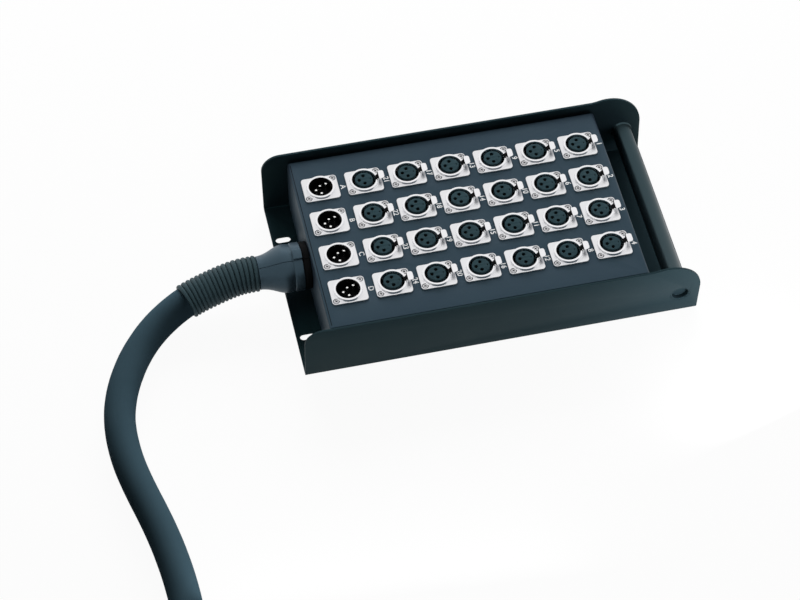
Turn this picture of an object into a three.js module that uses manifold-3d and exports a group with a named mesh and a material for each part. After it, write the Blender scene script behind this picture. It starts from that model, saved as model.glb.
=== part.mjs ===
// Stage box snake: a steel tray with a tube handle, a connector box with 28 panel sockets,
// and a thick multicore cable that leaves through a moulded gland and a ribbed sleeve.
// Millimetres. +X runs along the box to the handle, +Y to the far side plate, +Z up.
// The origin is under the middle of the tray, on the surface that it stands on.
import * as THREE from 'three';
import { mergeVertices } from 'three/addons/utils/BufferGeometryUtils.js';
import Module from 'manifold-3d';

const wasm = await Module();
wasm.setup();

// General clearances
const seatGap = 0.3; // between pieces that touch
const overrun = 5; // how far a cutting tool passes the face it cuts
const weld = 0.0001; // points nearer than this are one point

// Steel tray: a base with two side plates that lean outward
const tray = {
  length: 342.5,
  baseWidth: 188.4,
  sheet: 2,
  sideHeight: 63.3,
  sideLean: 4.2, // degrees
  bendRadius: 3,
  frontCorner: 16.5, // rounding of the plates at the cable end
  earRadius: 31,
  earRise: 2, // how far the rounded ear stands above the plate's edge
  earFillet: 30,
  heelRadius: 3,
};
const baseSlot = { length: 13.5, width: 6.8, fromEdge: 9.8, spacing: 109 };
const footScrew = { holeRadius: 2.1, spacing: 120 };

// Handle tube between the two ears
const handle = { radius: 8.5, wall: 1.5, fromEdge: 16.7, height: 25.5, sides: 24 };

// Connector box: folded cover, open underneath, standing on the base
const cover = {
  length: 275.3,
  fromEdge: 22.4, // from the tray's cable end to the box
  height: 57.5, // panel surface above the floor
  sheet: 1.6,
  foldRadius: 2.4,
  footDepth: 13,
};

// Sockets stand in a grid on the panel
const grid = { pitch: 38.1, columns: 7, rows: 4, fromEdge: 45.2 };
const socket = {
  flangeLength: 31,
  flangeWidth: 26,
  flangeThick: 1.5,
  flangeCorner: 3,
  rimHeight: 4.2, // rim of the collar above the panel
  collarBase: 12.8,
  collarRim: 12.5,
  bore: 10.5,
  bodyRadius: 11.3,
  bodyDepth: 21, // below the panel
  sides: 12,
};
const femaleInsert = {
  radius: 7.75,
  below: 0.4, // face of the insert below the rim
  gapDepth: 13,
  contactRing: 4.2,
  contactRadius: 1.5,
  contactDepth: 7,
  contactSides: 5,
};
const malePins = {
  ring: 4.15,
  radius: 1.2,
  below: 3.5, // tips below the rim
  floorBelow: 11,
  sides: 6,
  screwRadius: 1.3,
  screwRing: 7.9,
  screwAngle: 45, // degrees
};

// Release latch of a female socket, hinged in the notch of its collar
const latch = {
  tail: 9.7, // from the middle of the socket
  armWidth: 4.4,
  armEnd: 12.3,
  paddleWidth: 9,
  paddleEnd: 17.6,
  paddleCorner: 2.6,
  thick: 1.3,
  height: 2.7, // underside of the arm above the panel
  rampFrom: 10.6, // where the arm climbs out of the notch
  rampTo: 12.7,
  rampRise: 3,
  upturn: 0.6, // rise of the paddle's far end
  neckShare: 0.06, // of the paddle's length, where it has left the arm
  widestShare: 0.28,
};
const latchNotch = { from: 9.2, to: 13.6, floor: 2.1 };

// Moulded gland on the wall, a clamp shell of two halves
const gland = {
  height: 30,
  nutRadius: 20,
  nutThick: 5,
  shankRadius: 16,
  collarRadius: 20.4,
  collarLength: 14.8,
  bellRadius: 21,
  bellAt: 22,
  shoulderRadius: 19.6,
  shoulderAt: 28,
  waistRadius: 16.4,
  waistAt: 34.5,
  neckRadius: 14.6,
  neckAt: 40.5,
  length: 44.6,
  sides: 24,
};
const glandLug = { length: 8.4, width: 9.5, stand: 1.3, angle: 81, from: 6.1 };

// Multicore cable and the ribbed sleeve on its first stretch
const cable = { radius: 13.25, sides: 8, step: 58 };
const sleeve = { ribs: 17, ribPitch: 3.9, crest: 15.7, valley: 14.7, ribsPerRing: 5, crestShare: 0.4 };
const cableRoute = [
  [-139, 0, 30],
  [-160, 0, 30],
  [-178, 0, 30],
  [-195, 0, 30],
  [-211, -0.5, 29.4],
  [-232, -3.6, 25.9],
  [-256, -9.6, 21.2],
  [-272.5, -17.6, 17.8],
  [-288.8, -29.6, 15.2],
  [-305, -48, 13.8],
  [-317, -68, 13.5],
  [-326, -89.5, 13.5],
  [-331.5, -112, 13.5],
  [-333, -133, 13.5],
  [-331.5, -158.5, 13.5],
  [-327, -184, 13.5],
  [-320.5, -212, 13.5],
  [-314, -245, 13.5],
  [-309.5, -285, 13.5],
  [-309, -325, 13.5],
  [-312.5, -370, 13.5],
  [-318.5, -420, 13.5],
  [-325.5, -468, 13.5],
  [-330.6, -512, 13.5],
  [-332.75, -540, 13.5],
  [-332.75, -563, 13.5],
];
// The coil that holds the rest: spirals in and out in four layers
const coil = {
  innerRadius: 110,
  pitch: 27.4,
  layerPitch: 27.3,
  layers: 4,
  turns: 3.5, // in each full layer
  lastTurns: 2.75,
  startAngle: 180, // degrees
  climb: 0.5, // turns that a climb to the next layer takes
  lead: 27,
  tail: 44,
  stepsPerTurn: 24,
  sides: 6,
};

// Round multipin connector on the cable's far end, lying on the coil
const connector = {
  nutRadius: 17.5,
  nutLength: 16,
  nutSides: 6,
  neckRadius: 15.5,
  neckLength: 4,
  shellRadius: 23,
  shellFrom: 38,
  ringRadius: 26,
  ringFrom: 82,
  length: 112,
  mouthRadius: 21,
  mouthDepth: 14,
  insertRadius: 18.5,
  insertBelow: 4,
  sides: 20,
};

// Worked-out places
const halfLength = tray.length / 2;
const lean = THREE.MathUtils.degToRad(tray.sideLean);
const earTop = tray.sideHeight + tray.earRise;
const baseTop = tray.sheet;
const coverLeft = -halfLength + cover.fromEdge;
const coverRight = coverLeft + cover.length;
const coverHalfWidth = tray.baseWidth / 2 - tray.sheet - seatGap;
const handleX = halfLength - handle.fromEdge;
const rimAt = cover.height + socket.rimHeight;
const footScrewX = cover.footDepth / 2 + cover.sheet;
const sleeveStart = gland.length + 2 * seatGap;
const [routeEndX, routeEndY, cableBed] = cableRoute[cableRoute.length - 1];
const coilCentreX = routeEndX + coil.innerRadius + coil.pitch * coil.turns;
const coilCentreY = routeEndY - coil.lead;
const pileTop = cableBed + (coil.layers - 2) * coil.layerPitch + cable.radius;
const connectorHeight = pileTop + seatGap + connector.ringRadius;

const materials = {
  steelPaint: { color: 0x3a464d, roughness: 0.5, metalness: 0.1 },
  handlePaint: { color: 0x46545e, roughness: 0.42, metalness: 0.1 },
  nickel: { color: 0xd9dadb, roughness: 0.25, metalness: 0.9 },
  moulding: { color: 0x3e4c52, roughness: 0.55, metalness: 0 },
  sheath: { color: 0x36444b, roughness: 0.5, metalness: 0 },
  connectorShell: { color: 0x85898c, roughness: 0.4, metalness: 0.6 },
};

// Geometry helpers

// The closed solid of a geometry, with its shared points merged and its faces outward.
function toSolid(geometry) {
  const bare = geometry.index ? geometry.toNonIndexed() : geometry.clone();
  for (const name of Object.keys(bare.attributes)) {
    if (name !== 'position') bare.deleteAttribute(name);
  }
  const merged = mergeVertices(bare, weld);
  const points = merged.attributes.position.array;
  const corners = [];
  const index = merged.index.array;
  for (let i = 0; i < index.length; i += 3) {
    const [a, b, c] = [index[i], index[i + 1], index[i + 2]];
    if (a !== b && b !== c && c !== a) corners.push(a, b, c);
  }
  if (signedVolume(points, corners) < 0) corners.reverse();
  return new wasm.Manifold(new wasm.Mesh({
    numProp: 3,
    vertProperties: points,
    triVerts: Uint32Array.from(corners),
  }));
}

function signedVolume(points, corners) {
  const at = (i) => new THREE.Vector3().fromArray(points, 3 * i);
  let sum = 0;
  for (let i = 0; i < corners.length; i += 3) {
    sum += at(corners[i]).dot(at(corners[i + 1]).cross(at(corners[i + 2])));
  }
  return sum / 6;
}

function toGeometry(solid) {
  const mesh = solid.getMesh();
  const geometry = new THREE.BufferGeometry();
  geometry.setAttribute('position', new THREE.BufferAttribute(mesh.vertProperties, 3));
  geometry.setIndex(new THREE.BufferAttribute(mesh.triVerts, 1));
  return geometry;
}

function unite(solids) {
  return solids.reduce((whole, next) => whole.add(next));
}

function cut(solid, tools) {
  return tools.reduce((rest, tool) => rest.subtract(tool), solid);
}

// A shape drawn in Y and Z, drawn out along +X from the given place.
function alongX(shape, length, from, curveSegments) {
  const geometry = new THREE.ExtrudeGeometry(shape, {
    depth: length,
    bevelEnabled: false,
    curveSegments,
  });
  const turn = new THREE.Matrix4().makeBasis(
    new THREE.Vector3(0, 1, 0),
    new THREE.Vector3(0, 0, 1),
    new THREE.Vector3(1, 0, 0),
  );
  return geometry.applyMatrix4(turn).translate(from, 0, 0);
}

// A shape drawn in X and Z, drawn out along Y on both sides of the middle.
function alongY(shape, width, curveSegments) {
  const geometry = new THREE.ExtrudeGeometry(shape, {
    depth: width,
    bevelEnabled: false,
    curveSegments,
  });
  const turn = new THREE.Matrix4().makeBasis(
    new THREE.Vector3(1, 0, 0),
    new THREE.Vector3(0, 0, 1),
    new THREE.Vector3(0, -1, 0),
  );
  return geometry.applyMatrix4(turn).translate(0, width / 2, 0);
}

// A shape drawn in X and Y, drawn up from one height to another.
function upward(shape, from, to, curveSegments) {
  const options = { depth: to - from, bevelEnabled: false, curveSegments };
  return new THREE.ExtrudeGeometry(shape, options).translate(0, 0, from);
}

// A round bar with its axis along +Z.
function uprightBar(radius, from, to, sides) {
  const bar = new THREE.CylinderGeometry(radius, radius, to - from, sides);
  return bar.rotateX(Math.PI / 2).translate(0, 0, (from + to) / 2);
}

function box(fromX, toX, fromY, toY, fromZ, toZ) {
  const brick = new THREE.BoxGeometry(toX - fromX, toY - fromY, toZ - fromZ);
  return brick.translate((fromX + toX) / 2, (fromY + toY) / 2, (fromZ + toZ) / 2);
}

// A revolved solid whose profile gives radius and height, with its axis along +Z.
function revolved(profile, sides) {
  const points = profile.map(([radius, height]) => new THREE.Vector2(radius, height));
  return new THREE.LatheGeometry(points, sides).rotateX(Math.PI / 2);
}

function roundedRectangle(length, width, corner) {
  const [x, y] = [length / 2, width / 2];
  const shape = new THREE.Shape();
  shape.absarc(x - corner, y - corner, corner, 0, Math.PI / 2, false);
  shape.absarc(corner - x, y - corner, corner, Math.PI / 2, Math.PI, false);
  shape.absarc(corner - x, corner - y, corner, Math.PI, 1.5 * Math.PI, false);
  shape.absarc(x - corner, corner - y, corner, 1.5 * Math.PI, 2 * Math.PI, false);
  shape.closePath();
  return shape;
}

// Tray

// Middle of the bend between the base and the leaning plate, at the +Y side.
const bendCentreY = tray.baseWidth / 2 - (tray.bendRadius * (1 - Math.sin(lean))) / Math.cos(lean);

// A point at the plate's outer face, or further in, at a height above the floor.
function platePoint(height, inward) {
  const along = height / Math.cos(lean);
  return new THREE.Vector2(
    tray.baseWidth / 2 + along * Math.sin(lean) - inward * Math.cos(lean),
    along * Math.cos(lean) + inward * Math.sin(lean),
  );
}

function channelSection() {
  const outer = platePoint(earTop + overrun, 0);
  const inner = platePoint(earTop + overrun, tray.sheet);
  const [y, r] = [bendCentreY, tray.bendRadius];
  const innerBend = r - tray.sheet;
  const shape = new THREE.Shape();
  shape.moveTo(inner.x, inner.y);
  shape.lineTo(outer.x, outer.y);
  shape.absarc(y, r, r, -lean, -Math.PI / 2, true);
  shape.absarc(-y, r, r, -Math.PI / 2, lean - Math.PI, true);
  shape.lineTo(-outer.x, outer.y);
  shape.lineTo(-inner.x, inner.y);
  shape.absarc(-y, r, innerBend, lean - Math.PI, -Math.PI / 2, false);
  shape.absarc(y, r, innerBend, -Math.PI / 2, -lean, false);
  shape.closePath();
  return shape;
}

// Side view of the tray: rounded front corner, a shallow fillet, the ear and its heel.
function sideOutline() {
  const { sideHeight: top, frontCorner, earRadius, earFillet, heelRadius } = tray;
  const [earX, earZ] = [halfLength - earRadius, earTop - earRadius];
  const reach = earRadius + earFillet;
  const filletZ = top + earFillet;
  const filletX = earX - Math.sqrt(reach ** 2 - (filletZ - earZ) ** 2);
  const meet = Math.atan2(earZ - filletZ, earX - filletX);
  const shape = new THREE.Shape();
  shape.moveTo(halfLength - heelRadius, -overrun);
  shape.lineTo(-halfLength, -overrun);
  shape.absarc(frontCorner - halfLength, top - frontCorner, frontCorner, Math.PI, Math.PI / 2, true);
  shape.absarc(filletX, filletZ, earFillet, -Math.PI / 2, meet, false);
  shape.absarc(earX, earZ, earRadius, meet + Math.PI, 0, true);
  shape.absarc(halfLength - heelRadius, heelRadius, heelRadius, 0, -Math.PI / 2, true);
  shape.closePath();
  return shape;
}

function slotShape() {
  const { length, width } = baseSlot;
  const end = (length - width) / 2;
  const shape = new THREE.Shape();
  shape.absarc(end, 0, width / 2, -Math.PI / 2, Math.PI / 2, false);
  shape.absarc(-end, 0, width / 2, Math.PI / 2, 1.5 * Math.PI, false);
  shape.closePath();
  return shape;
}

// Places of the four screws that hold the cover's feet to the base.
function footScrewPlaces() {
  const places = [];
  for (const x of [coverLeft + footScrewX, coverRight - footScrewX]) {
    for (const side of [-1, 1]) places.push([x, (side * footScrew.spacing) / 2]);
  }
  return places;
}

function screwHoles(from, to) {
  const { holeRadius } = footScrew;
  return footScrewPlaces().map(([x, y]) => (
    toSolid(uprightBar(holeRadius, from, to, 10).translate(x, y, 0))));
}

function handleHole() {
  const hole = new THREE.CylinderGeometry(
    handle.radius + seatGap, handle.radius + seatGap, 2 * tray.baseWidth, handle.sides);
  return hole.translate(handleX, 0, handle.height);
}

function makeTray() {
  const channel = toSolid(alongX(channelSection(), tray.length, -halfLength, 4));
  const outline = toSolid(alongY(sideOutline(), 2 * tray.baseWidth, 8));
  const slots = [-1, 1].map((side) => {
    const slot = upward(slotShape(), -overrun, tray.sheet + overrun, 6);
    return toSolid(slot.translate(baseSlot.fromEdge - halfLength, (side * baseSlot.spacing) / 2, 0));
  });
  const screws = screwHoles(-overrun, tray.sheet + overrun);
  const shell = channel.intersect(outline);
  return toGeometry(cut(shell, [...slots, ...screws, toSolid(handleHole())]));
}

// Handle tube, its ends flush with the leaning faces of the ears.
function makeHandle() {
  const { radius, wall, sides } = handle;
  const reach = tray.baseWidth;
  const ring = [
    [radius - wall, -reach],
    [radius, -reach],
    [radius, reach],
    [radius - wall, reach],
    [radius - wall, -reach],
  ];
  const tube = revolved(ring, sides).rotateX(Math.PI / 2);
  const top = platePoint(earTop, 0);
  const between = new THREE.Shape();
  between.moveTo(tray.baseWidth / 2, 0);
  between.lineTo(top.x, top.y);
  between.lineTo(-top.x, top.y);
  between.lineTo(-tray.baseWidth / 2, 0);
  between.closePath();
  const limits = toSolid(alongX(between, tray.length, -halfLength, 1));
  return toGeometry(toSolid(tube.translate(handleX, 0, handle.height)).intersect(limits));
}

// Connector box

function coverOutline(inset, top, floor) {
  const corner = Math.max(cover.foldRadius - inset, seatGap);
  const [left, right] = [coverLeft + inset, coverRight - inset];
  const shape = new THREE.Shape();
  shape.moveTo(right, floor);
  shape.lineTo(left, floor);
  shape.absarc(left + corner, top - corner, corner, Math.PI, Math.PI / 2, true);
  shape.absarc(right - corner, top - corner, corner, Math.PI / 2, 0, true);
  shape.closePath();
  return shape;
}

function socketPlaces() {
  const places = [];
  for (let column = 0; column < grid.columns; column += 1) {
    for (let row = 0; row < grid.rows; row += 1) {
      places.push({
        column,
        row,
        x: grid.fromEdge - halfLength + column * grid.pitch,
        y: ((grid.rows - 1) / 2 - row) * grid.pitch,
      });
    }
  }
  return places;
}

function makeCover() {
  const floor = baseTop + seatGap;
  const footTop = floor + cover.sheet;
  const innerTop = cover.height - cover.sheet;
  const width = 2 * coverHalfWidth;
  const innerWidth = width - 2 * cover.sheet;
  const shell = toSolid(alongY(coverOutline(0, cover.height, floor), width, 3));
  const hollow = toSolid(alongY(coverOutline(cover.sheet, innerTop, footTop), innerWidth, 2));
  const mouth = toSolid(box(
    coverLeft + cover.footDepth, coverRight - cover.footDepth,
    -innerWidth / 2, innerWidth / 2, floor - overrun, footTop + overrun));
  const shank = gland.shankRadius + seatGap;
  const wallHole = new THREE.CylinderGeometry(shank, shank, 2 * overrun, gland.sides);
  const cutouts = socketPlaces().map(({ x, y }) => toSolid(uprightBar(
    socket.bodyRadius + seatGap, innerTop - overrun, cover.height + overrun, socket.sides)
    .translate(x, y, 0)));
  return toGeometry(cut(shell, [
    hollow,
    mouth,
    toSolid(wallHole.rotateZ(Math.PI / 2).translate(coverLeft, 0, gland.height)),
    ...screwHoles(floor - overrun, footTop + overrun),
    ...cutouts,
  ]));
}

// Sockets, drawn about their own middle with the panel's surface at zero

function socketShell() {
  const { flangeThick, rimHeight, collarBase, collarRim, bodyRadius, bodyDepth, sides } = socket;
  const flangeTop = seatGap + flangeThick;
  const flange = roundedRectangle(socket.flangeLength, socket.flangeWidth, socket.flangeCorner);
  const body = revolved([
    [0, -bodyDepth],
    [bodyRadius, -bodyDepth],
    [bodyRadius, seatGap + flangeThick / 2],
    [collarBase, seatGap + flangeThick / 2],
    [collarBase, flangeTop],
    [collarRim, rimHeight],
    [0, rimHeight],
  ], sides);
  return unite([toSolid(upward(flange, seatGap, flangeTop, 1)), toSolid(body)]);
}

function ringPlace(radius, degrees) {
  const angle = THREE.MathUtils.degToRad(degrees);
  return [radius * Math.cos(angle), radius * Math.sin(angle)];
}

const contactAngles = [90, 180, 270]; // degrees, the same on both kinds

function makeFemaleSocket() {
  const { rimHeight, bore, sides } = socket;
  const { radius, below, gapDepth, contactRing, contactRadius } = femaleInsert;
  const face = rimHeight - below;
  const hole = toSolid(uprightBar(bore, rimHeight - gapDepth, rimHeight + overrun, sides));
  const insert = toSolid(uprightBar(radius, rimHeight - gapDepth - overrun, face, sides));
  const halfNotch = latch.armWidth / 2 + seatGap;
  const notch = toSolid(box(
    latchNotch.from, latchNotch.to, -halfNotch, halfNotch,
    latchNotch.floor, rimHeight + overrun));
  const contacts = contactAngles.map((degrees) => {
    const [x, y] = ringPlace(contactRing, degrees);
    const from = face - femaleInsert.contactDepth;
    const bar = uprightBar(contactRadius, from, face + overrun, femaleInsert.contactSides);
    return toSolid(bar.translate(x, y, 0));
  });
  return toGeometry(cut(socketShell(), [hole.subtract(insert), notch, ...contacts]));
}

function makeMaleSocket() {
  const { rimHeight, bore, sides } = socket;
  const floor = rimHeight - malePins.floorBelow;
  const tip = rimHeight - malePins.below;
  const hole = toSolid(uprightBar(bore, floor, rimHeight + overrun, sides));
  const posts = contactAngles.map((degrees) => [malePins.radius, ringPlace(malePins.ring, degrees)]);
  posts.push([malePins.screwRadius, ringPlace(malePins.screwRing, malePins.screwAngle)]);
  const pins = posts.map(([radius, [x, y]]) => (
    toSolid(uprightBar(radius, floor - overrun, tip, malePins.sides).translate(x, y, 0))));
  return toGeometry(unite([socketShell().subtract(hole), ...pins]));
}

// Plan of a latch: a narrow arm that widens to a thumb paddle with rounded corners.
function latchPlan() {
  const { tail, armWidth, armEnd, paddleWidth, paddleEnd, paddleCorner } = latch;
  const [arm, wide] = [armWidth / 2, paddleWidth / 2];
  const reach = paddleEnd - armEnd;
  const neck = armEnd + reach * latch.neckShare;
  const widest = armEnd + reach * latch.widestShare;
  const [cornerX, cornerY] = [paddleEnd - paddleCorner, wide - paddleCorner];
  const shape = new THREE.Shape();
  shape.moveTo(tail, -arm);
  shape.lineTo(armEnd, -arm);
  shape.quadraticCurveTo(neck, -wide, widest, -wide);
  shape.lineTo(cornerX, -wide);
  shape.quadraticCurveTo(paddleEnd, -wide, paddleEnd, -cornerY);
  shape.lineTo(paddleEnd, cornerY);
  shape.quadraticCurveTo(paddleEnd, wide, cornerX, wide);
  shape.lineTo(widest, wide);
  shape.quadraticCurveTo(neck, wide, armEnd, arm);
  shape.lineTo(tail, arm);
  shape.closePath();
  return shape;
}

// Latch: its arm climbs out of the notch to the paddle, which turns up a little.
function makeLatch() {
  const { tail, rampFrom, rampTo, rampRise, paddleEnd, thick, upturn, height } = latch;
  const under = [
    [tail, height],
    [rampFrom, height],
    [rampTo, height + rampRise],
    [paddleEnd, height + rampRise + upturn],
  ];
  const side = new THREE.Shape();
  side.moveTo(...under[0]);
  for (const [x, z] of under.slice(1)) side.lineTo(x, z);
  for (const [x, z] of under.reverse()) side.lineTo(x, z + thick);
  side.closePath();
  const plan = toSolid(upward(latchPlan(), 0, height + rampRise + upturn + thick + overrun, 2));
  return toGeometry(toSolid(alongY(side, 2 * latch.paddleWidth, 1)).intersect(plan));
}

// Gland

function makeGland() {
  const bore = (cable.radius + seatGap) / Math.cos(Math.PI / gland.sides);
  const inside = -(cover.sheet + seatGap);
  const profile = [
    [bore, inside - gland.nutThick],
    [gland.nutRadius, inside - gland.nutThick],
    [gland.nutRadius, inside],
    [gland.shankRadius, inside],
    [gland.shankRadius, seatGap],
    [gland.collarRadius, seatGap],
    [gland.collarRadius, gland.collarLength],
    [gland.bellRadius, gland.bellAt],
    [gland.shoulderRadius, gland.shoulderAt],
    [gland.waistRadius, gland.waistAt],
    [gland.neckRadius, gland.neckAt],
    [gland.neckRadius, gland.length],
    [bore, gland.length],
    [bore, inside - gland.nutThick],
  ];
  const shell = toSolid(revolved(profile, gland.sides).rotateY(-Math.PI / 2));
  const lugTop = gland.collarRadius + glandLug.stand;
  const lug = box(
    -glandLug.from - glandLug.length, -glandLug.from, -glandLug.width / 2, glandLug.width / 2,
    gland.shankRadius, lugTop);
  const turn = THREE.MathUtils.degToRad(90 - glandLug.angle);
  return toGeometry(shell.add(toSolid(lug.rotateX(turn))));
}

// Cable, sleeve and coil: swept along a line, section by section

const up = new THREE.Vector3(0, 0, 1);

// The ring of points round a place on the line, square to it.
function ringAt(place, heading, radius, sides) {
  const side = new THREE.Vector3().crossVectors(heading, up).normalize();
  const lift = new THREE.Vector3().crossVectors(side, heading).normalize();
  const ring = [];
  for (let i = 0; i < sides; i += 1) {
    const angle = (2 * Math.PI * (i + 0.5)) / sides;
    ring.push(place.clone()
      .addScaledVector(side, radius * Math.cos(angle))
      .addScaledVector(lift, radius * Math.sin(angle)));
  }
  return ring;
}

function geometryOf(triangles) {
  const points = triangles.flatMap((corners) => corners.flatMap((p) => p.toArray()));
  const geometry = new THREE.BufferGeometry();
  geometry.setAttribute('position', new THREE.Float32BufferAttribute(points, 3));
  return toGeometry(toSolid(geometry));
}

// The band of faces between two rings of the same number of points.
function band(from, to) {
  return from.flatMap((point, i) => {
    const next = (i + 1) % from.length;
    return [[point, from[next], to[next]], [point, to[next], to[i]]];
  });
}

function bands(rings) {
  return rings.slice(1).flatMap((ring, i) => band(rings[i], ring));
}

function cap(ring) {
  return ring.slice(2).map((point, i) => [ring[0], ring[i + 1], point]);
}

function solidTube(rings) {
  const last = rings[rings.length - 1];
  const start = cap(rings[0]).map(([a, b, c]) => [a, c, b]);
  return geometryOf([...start, ...bands(rings), ...cap(last)]);
}

const routeCurve = new THREE.CatmullRomCurve3(
  cableRoute.map((point) => new THREE.Vector3(...point)), false, 'centripetal');
routeCurve.arcLengthDivisions = 800;
const routeLength = routeCurve.getLength();

// Distance along the route at which it passes the sleeve's first edge.
const sleeveFrom = coverLeft - sleeveStart < cableRoute[0][0]
  ? cableRoute[0][0] - (coverLeft - sleeveStart) : 0;
const sleeveLength = sleeve.ribs * sleeve.ribPitch;

function routeRing(distance, radius) {
  const share = THREE.MathUtils.clamp(distance / routeLength, 0, 1);
  const heading = routeCurve.getTangentAt(share).normalize();
  return ringAt(routeCurve.getPointAt(share), heading, radius, cable.sides);
}

// Places of the sleeve's bore rings, which the cable inside it shares.
function boreStations() {
  const step = sleeve.ribPitch * sleeve.ribsPerRing;
  const count = Math.ceil(sleeveLength / step);
  const stations = [];
  for (let i = 0; i <= count; i += 1) {
    stations.push(sleeveFrom + Math.min(i * step, sleeveLength));
  }
  return stations;
}

function makeSleeve() {
  const outer = [routeRing(sleeveFrom, sleeve.valley)];
  for (let rib = 0; rib < sleeve.ribs; rib += 1) {
    const at = sleeveFrom + (rib + sleeve.crestShare) * sleeve.ribPitch;
    outer.push(routeRing(at, sleeve.crest));
    outer.push(routeRing(at + sleeve.ribPitch / 2, sleeve.valley));
  }
  outer.push(routeRing(sleeveFrom + sleeveLength, sleeve.valley));
  const bore = boreStations().map((at) => routeRing(at, cable.radius + seatGap)).reverse();
  return geometryOf(bands([...outer, ...bore, outer[0]]));
}

function makeCable() {
  const stations = [0, sleeveFrom / 2, ...boreStations()];
  const from = stations[stations.length - 1];
  const straight = routeLength - coil.lead;
  const steps = Math.round((straight - from) / cable.step);
  for (let i = 1; i <= steps; i += 1) stations.push(from + ((straight - from) * i) / steps);
  stations.push(routeLength);
  return solidTube(stations.map((at) => routeRing(at, cable.radius)));
}

function smooth(share) {
  const t = THREE.MathUtils.clamp(share, 0, 1);
  return t * t * (3 - 2 * t);
}

// The coil's centre line: a straight lead, the piled spirals and a straight tail.
function coilLine() {
  const { turns, layers, lastTurns, pitch, innerRadius, layerPitch, climb } = coil;
  const total = turns * (layers - 1) + lastTurns;
  const endRise = connectorHeight - cableBed - (layers - 1) * layerPitch;
  const steps = Math.round(total * coil.stepsPerTurn);
  const line = [];
  for (let i = 0; i <= steps; i += 1) {
    const turn = (total * i) / steps;
    const layer = Math.min(Math.floor(turn / turns), layers - 1);
    const within = turn - layer * turns;
    const radius = innerRadius + pitch * (layer % 2 ? within : turns - within);
    let height = cableBed + endRise * smooth((turn - total + climb) / climb);
    for (let step = 1; step < layers; step += 1) {
      height += layerPitch * smooth((turn - step * turns) / climb + 0.5);
    }
    const angle = THREE.MathUtils.degToRad(coil.startAngle) + 2 * Math.PI * turn;
    line.push(new THREE.Vector3(
      coilCentreX + radius * Math.cos(angle),
      coilCentreY + radius * Math.sin(angle),
      height,
    ));
  }
  const first = line[0];
  const last = line[steps];
  line.unshift(first.clone().setY(first.y + coil.lead - seatGap));
  line.push(last.clone().setX(last.x + coil.tail));
  return line;
}

function headings(line) {
  const end = line.length - 1;
  return line.map((point, i) => {
    const before = line[i === end ? end - 1 : Math.max(i - 1, 0)];
    const after = line[i === 0 ? 1 : Math.min(i + 1, end)];
    return new THREE.Vector3().subVectors(after, before).normalize();
  });
}

// The least room between one turn's surface and another's, over the line's points.
function leastGap(line) {
  const apart = coil.stepsPerTurn / 2;
  let least = Infinity;
  for (let i = 0; i < line.length; i += 1) {
    for (let j = i + apart; j < line.length; j += 1) {
      least = Math.min(least, line[i].distanceTo(line[j]));
    }
  }
  return least - 2 * cable.radius;
}

function makeCoil() {
  const line = coilLine();
  console.log(`coil: least gap between turns ${leastGap(line).toFixed(2)} mm`);
  const directions = headings(line);
  return solidTube(line.map((point, i) => (
    ringAt(point, directions[i], cable.radius, coil.sides))));
}

// Connector, drawn with the cable entering its clamp nut along +X at the origin

function makeConnector() {
  const { nutRadius, nutLength, nutSides, neckRadius, neckLength, shellRadius } = connector;
  const { shellFrom, ringRadius, ringFrom, length, mouthRadius, mouthDepth, sides } = connector;
  const neckTo = nutLength + neckLength;
  const lying = (geometry) => toSolid(geometry.rotateY(Math.PI / 2));
  const shell = lying(revolved([
    [0, nutLength / 2],
    [neckRadius, nutLength / 2],
    [neckRadius, neckTo],
    [shellRadius, shellFrom],
    [shellRadius, ringFrom],
    [ringRadius, ringFrom],
    [ringRadius, length],
    [0, length],
  ], sides));
  const nut = lying(uprightBar(nutRadius, 0, nutLength, nutSides));
  const bore = (cable.radius + seatGap) / Math.cos(Math.PI / sides);
  const entry = lying(uprightBar(bore, -overrun, nutLength, sides));
  const mouth = lying(uprightBar(mouthRadius, length - mouthDepth, length + overrun, sides));
  const insert = lying(uprightBar(
    connector.insertRadius, length - mouthDepth - overrun, length - connector.insertBelow, sides));
  return toGeometry(unite([cut(unite([shell, nut]), [entry, mouth]), insert]));
}

// Assembly

const model = new THREE.Group();

function place(name, geometry, look, x = 0, y = 0, z = 0) {
  const material = new THREE.MeshStandardMaterial({ ...materials[look], flatShading: true });
  const mesh = new THREE.Mesh(geometry, material);
  mesh.name = name;
  mesh.position.set(x, y, z);
  model.add(mesh);
}

place('tray', makeTray(), 'steelPaint');
place('handle_tube', makeHandle(), 'handlePaint');
place('connector_box_cover', makeCover(), 'steelPaint');

const maleSocket = makeMaleSocket();
const femaleSocket = makeFemaleSocket();
const latchPlate = makeLatch();
const letters = 'ABCDEFGH';
for (const { column, row, x, y } of socketPlaces()) {
  if (column === 0) {
    place(`return_socket_${letters[row]}`, maleSocket, 'nickel', x, y, cover.height);
  } else {
    const channel = (grid.columns - 1 - column) * grid.rows + row + 1;
    const label = String(channel).padStart(2, '0');
    place(`send_socket_${label}`, femaleSocket, 'nickel', x, y, cover.height);
    place(`latch_${label}`, latchPlate, 'nickel', x, y, cover.height);
  }
}

place('cable_gland', makeGland(), 'moulding', coverLeft, 0, gland.height);
place('ribbed_sleeve', makeSleeve(), 'moulding');
place('cable', makeCable(), 'sheath');
place('cable_coil', makeCoil(), 'sheath');
const tailEnd = coilLine().pop();
place('multipin_connector', makeConnector(), 'connectorShell',
  tailEnd.x - connector.nutLength / 2, tailEnd.y, connectorHeight);

export default model;
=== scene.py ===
import bmesh
import bpy
import math
from mathutils import Matrix, Vector


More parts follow.
